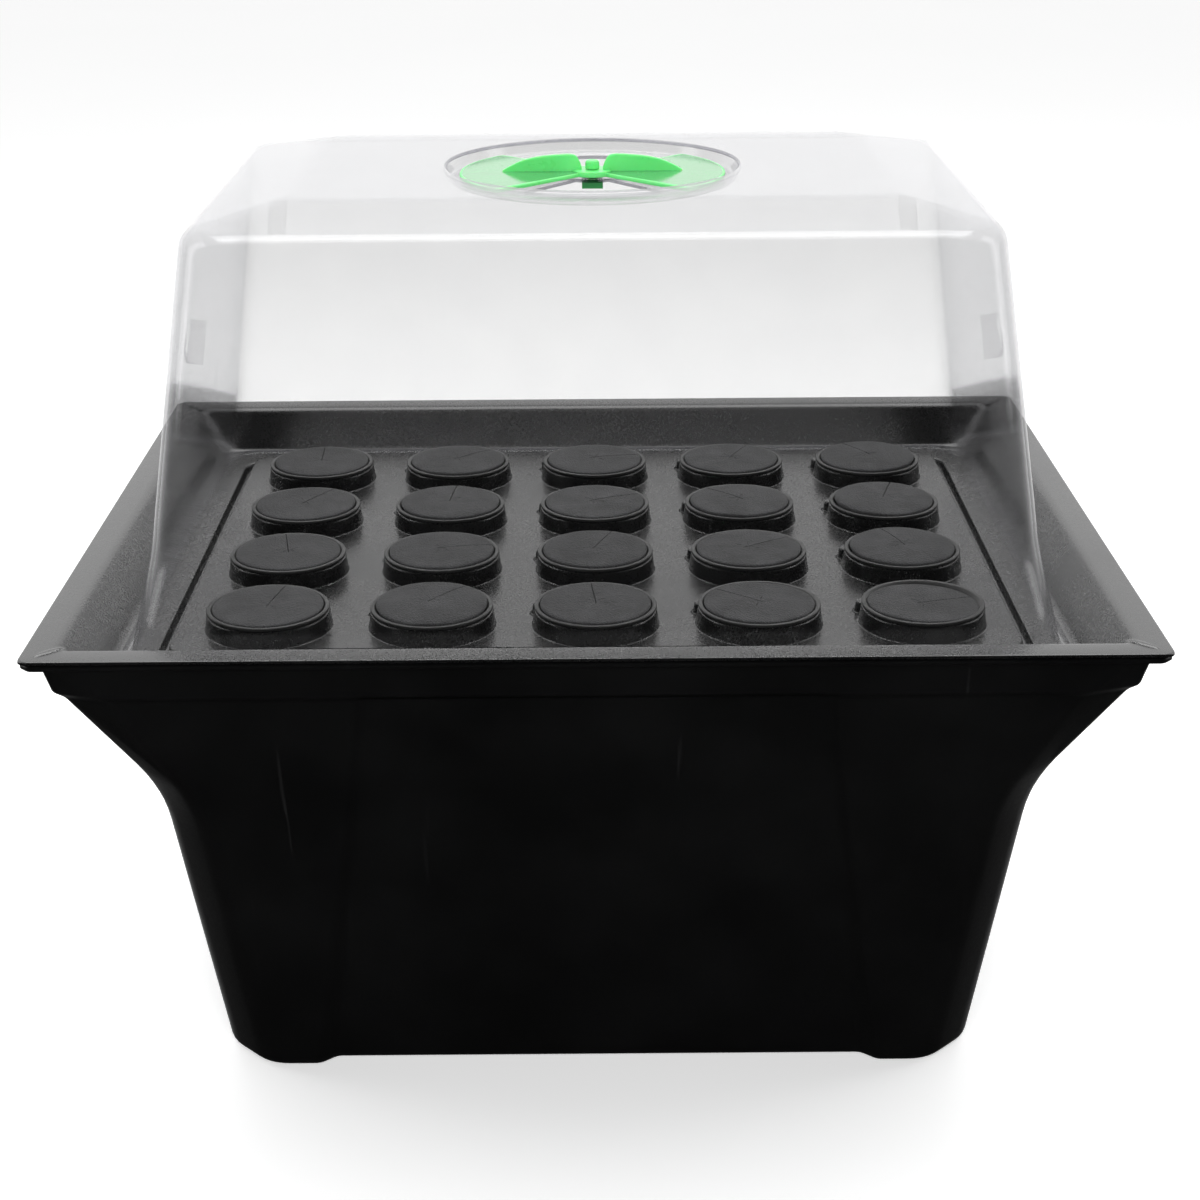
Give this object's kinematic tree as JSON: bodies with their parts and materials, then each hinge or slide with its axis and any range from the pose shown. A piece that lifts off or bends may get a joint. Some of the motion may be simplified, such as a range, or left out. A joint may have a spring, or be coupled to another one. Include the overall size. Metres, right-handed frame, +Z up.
{
  "type": "aeroponic propagator with humidity dome",
  "caption": "Deep black reservoir tank with a nested planting tray of net pots with foam inserts, a clear drafted humidity dome and a rotary vent, with pump and spray bar inside.",
  "frame": {"origin": "on the floor, under the centre of the rim", "axes": "+X along the rows of five pots, -Y towards the front, +Z up"},
  "size_m": [0.492, 0.394, 0.4263],
  "materials": {
    "black_sheet": "satin black vacuum-formed sheet",
    "tray_sheet": "fine-grained satin black vacuum-formed sheet",
    "clear_sheet": "clear gloss vacuum-formed sheet",
    "pot_plastic": "moulded black plastic",
    "neoprene": "matte closed-cell foam",
    "green_plastic": "bright green moulded plastic",
    "dark_green_plastic": "dark green moulded plastic",
    "pump_plastic": "moulded black plastic",
    "pump_rubber": "matte rubber",
    "impeller_plastic": "pale moulded plastic",
    "pipe_plastic": "extruded black pipe",
    "nozzle_plastic": "moulded red plastic"
  },
  "bodies": {
    "root": {"reservoir_tank": "black_sheet", "pump_body": "pump_plastic", "strainer_cover": "pump_plastic", "cable_gland": "pump_rubber", "suction_foot_1": "pump_rubber", "suction_foot_2": "pump_rubber", "suction_foot_3": "pump_rubber", "suction_foot_4": "pump_rubber", "riser_pipe": "pipe_plastic", "spray_bar": "pipe_plastic", "spray_nozzle_1": "nozzle_plastic", "spray_nozzle_2": "nozzle_plastic", "spray_nozzle_3": "nozzle_plastic", "spray_nozzle_4": "nozzle_plastic"},
    "tray": {"planting_tray": "tray_sheet"},
    "dome": {"humidity_dome": "clear_sheet"},
    "vent": {"vent_rotor": "green_plastic", "vent_pin": "green_plastic", "vent_clip": "dark_green_plastic"},
    "impeller": {"impeller": "impeller_plastic"},
    "pot_r1_c1": {"net_pot_r1_c1": "pot_plastic", "neoprene_insert_r1_c1": "neoprene"},
    "pot_r1_c2": {"net_pot_r1_c2": "pot_plastic", "neoprene_insert_r1_c2": "neoprene"},
    "pot_r1_c3": {"net_pot_r1_c3": "pot_plastic", "neoprene_insert_r1_c3": "neoprene"},
    "pot_r1_c4": {"net_pot_r1_c4": "pot_plastic", "neoprene_insert_r1_c4": "neoprene"},
    "pot_r1_c5": {"net_pot_r1_c5": "pot_plastic", "neoprene_insert_r1_c5": "neoprene"},
    "pot_r2_c1": {"net_pot_r2_c1": "pot_plastic", "neoprene_insert_r2_c1": "neoprene"},
    "pot_r2_c2": {"net_pot_r2_c2": "pot_plastic", "neoprene_insert_r2_c2": "neoprene"},
    "pot_r2_c3": {"net_pot_r2_c3": "pot_plastic", "neoprene_insert_r2_c3": "neoprene"},
    "pot_r2_c4": {"net_pot_r2_c4": "pot_plastic", "neoprene_insert_r2_c4": "neoprene"},
    "pot_r2_c5": {"net_pot_r2_c5": "pot_plastic", "neoprene_insert_r2_c5": "neoprene"},
    "pot_r3_c1": {"net_pot_r3_c1": "pot_plastic", "neoprene_insert_r3_c1": "neoprene"},
    "pot_r3_c2": {"net_pot_r3_c2": "pot_plastic", "neoprene_insert_r3_c2": "neoprene"},
    "pot_r3_c3": {"net_pot_r3_c3": "pot_plastic", "neoprene_insert_r3_c3": "neoprene"},
    "pot_r3_c4": {"net_pot_r3_c4": "pot_plastic", "neoprene_insert_r3_c4": "neoprene"},
    "pot_r3_c5": {"net_pot_r3_c5": "pot_plastic", "neoprene_insert_r3_c5": "neoprene"},
    "pot_r4_c1": {"net_pot_r4_c1": "pot_plastic", "neoprene_insert_r4_c1": "neoprene"},
    "pot_r4_c2": {"net_pot_r4_c2": "pot_plastic", "neoprene_insert_r4_c2": "neoprene"},
    "pot_r4_c3": {"net_pot_r4_c3": "pot_plastic", "neoprene_insert_r4_c3": "neoprene"},
    "pot_r4_c4": {"net_pot_r4_c4": "pot_plastic", "neoprene_insert_r4_c4": "neoprene"},
    "pot_r4_c5": {"net_pot_r4_c5": "pot_plastic", "neoprene_insert_r4_c5": "neoprene"}
  },
  "joints": [
    {"name": "tray_lift", "type": "slide", "parent": "root", "child": "tray", "axis": [0, 0, 1], "range_m": [0, 0.1]},
    {"name": "dome_lift", "type": "slide", "parent": "tray", "child": "dome", "axis": [0, 0, 1], "range_m": [0, 0.12]},
    {"name": "vent_turn", "type": "hinge", "parent": "dome", "child": "vent", "pos_m": [0, 0, 0.417], "axis": [0, 0, 1], "range_deg": [0, 90]},
    {"name": "impeller_spin", "type": "hinge", "parent": "root", "child": "impeller", "pos_m": [0, -0.018, 0.0368], "axis": [0, 1, 0], "continuous": true},
    {"name": "pot_lift_r1_c1", "type": "slide", "parent": "tray", "child": "pot_r1_c1", "axis": [0, 0, 1], "range_m": [0, 0.06]},
    {"name": "pot_lift_r1_c2", "type": "slide", "parent": "tray", "child": "pot_r1_c2", "axis": [0, 0, 1], "range_m": [0, 0.06]},
    {"name": "pot_lift_r1_c3", "type": "slide", "parent": "tray", "child": "pot_r1_c3", "axis": [0, 0, 1], "range_m": [0, 0.06]},
    {"name": "pot_lift_r1_c4", "type": "slide", "parent": "tray", "child": "pot_r1_c4", "axis": [0, 0, 1], "range_m": [0, 0.06]},
    {"name": "pot_lift_r1_c5", "type": "slide", "parent": "tray", "child": "pot_r1_c5", "axis": [0, 0, 1], "range_m": [0, 0.06]},
    {"name": "pot_lift_r2_c1", "type": "slide", "parent": "tray", "child": "pot_r2_c1", "axis": [0, 0, 1], "range_m": [0, 0.06]},
    {"name": "pot_lift_r2_c2", "type": "slide", "parent": "tray", "child": "pot_r2_c2", "axis": [0, 0, 1], "range_m": [0, 0.06]},
    {"name": "pot_lift_r2_c3", "type": "slide", "parent": "tray", "child": "pot_r2_c3", "axis": [0, 0, 1], "range_m": [0, 0.06]},
    {"name": "pot_lift_r2_c4", "type": "slide", "parent": "tray", "child": "pot_r2_c4", "axis": [0, 0, 1], "range_m": [0, 0.06]},
    {"name": "pot_lift_r2_c5", "type": "slide", "parent": "tray", "child": "pot_r2_c5", "axis": [0, 0, 1], "range_m": [0, 0.06]},
    {"name": "pot_lift_r3_c1", "type": "slide", "parent": "tray", "child": "pot_r3_c1", "axis": [0, 0, 1], "range_m": [0, 0.06]},
    {"name": "pot_lift_r3_c2", "type": "slide", "parent": "tray", "child": "pot_r3_c2", "axis": [0, 0, 1], "range_m": [0, 0.06]},
    {"name": "pot_lift_r3_c3", "type": "slide", "parent": "tray", "child": "pot_r3_c3", "axis": [0, 0, 1], "range_m": [0, 0.06]},
    {"name": "pot_lift_r3_c4", "type": "slide", "parent": "tray", "child": "pot_r3_c4", "axis": [0, 0, 1], "range_m": [0, 0.06]},
    {"name": "pot_lift_r3_c5", "type": "slide", "parent": "tray", "child": "pot_r3_c5", "axis": [0, 0, 1], "range_m": [0, 0.06]},
    {"name": "pot_lift_r4_c1", "type": "slide", "parent": "tray", "child": "pot_r4_c1", "axis": [0, 0, 1], "range_m": [0, 0.06]},
    {"name": "pot_lift_r4_c2", "type": "slide", "parent": "tray", "child": "pot_r4_c2", "axis": [0, 0, 1], "range_m": [0, 0.06]},
    {"name": "pot_lift_r4_c3", "type": "slide", "parent": "tray", "child": "pot_r4_c3", "axis": [0, 0, 1], "range_m": [0, 0.06]},
    {"name": "pot_lift_r4_c4", "type": "slide", "parent": "tray", "child": "pot_r4_c4", "axis": [0, 0, 1], "range_m": [0, 0.06]},
    {"name": "pot_lift_r4_c5", "type": "slide", "parent": "tray", "child": "pot_r4_c5", "axis": [0, 0, 1], "range_m": [0, 0.06]}
  ]
}
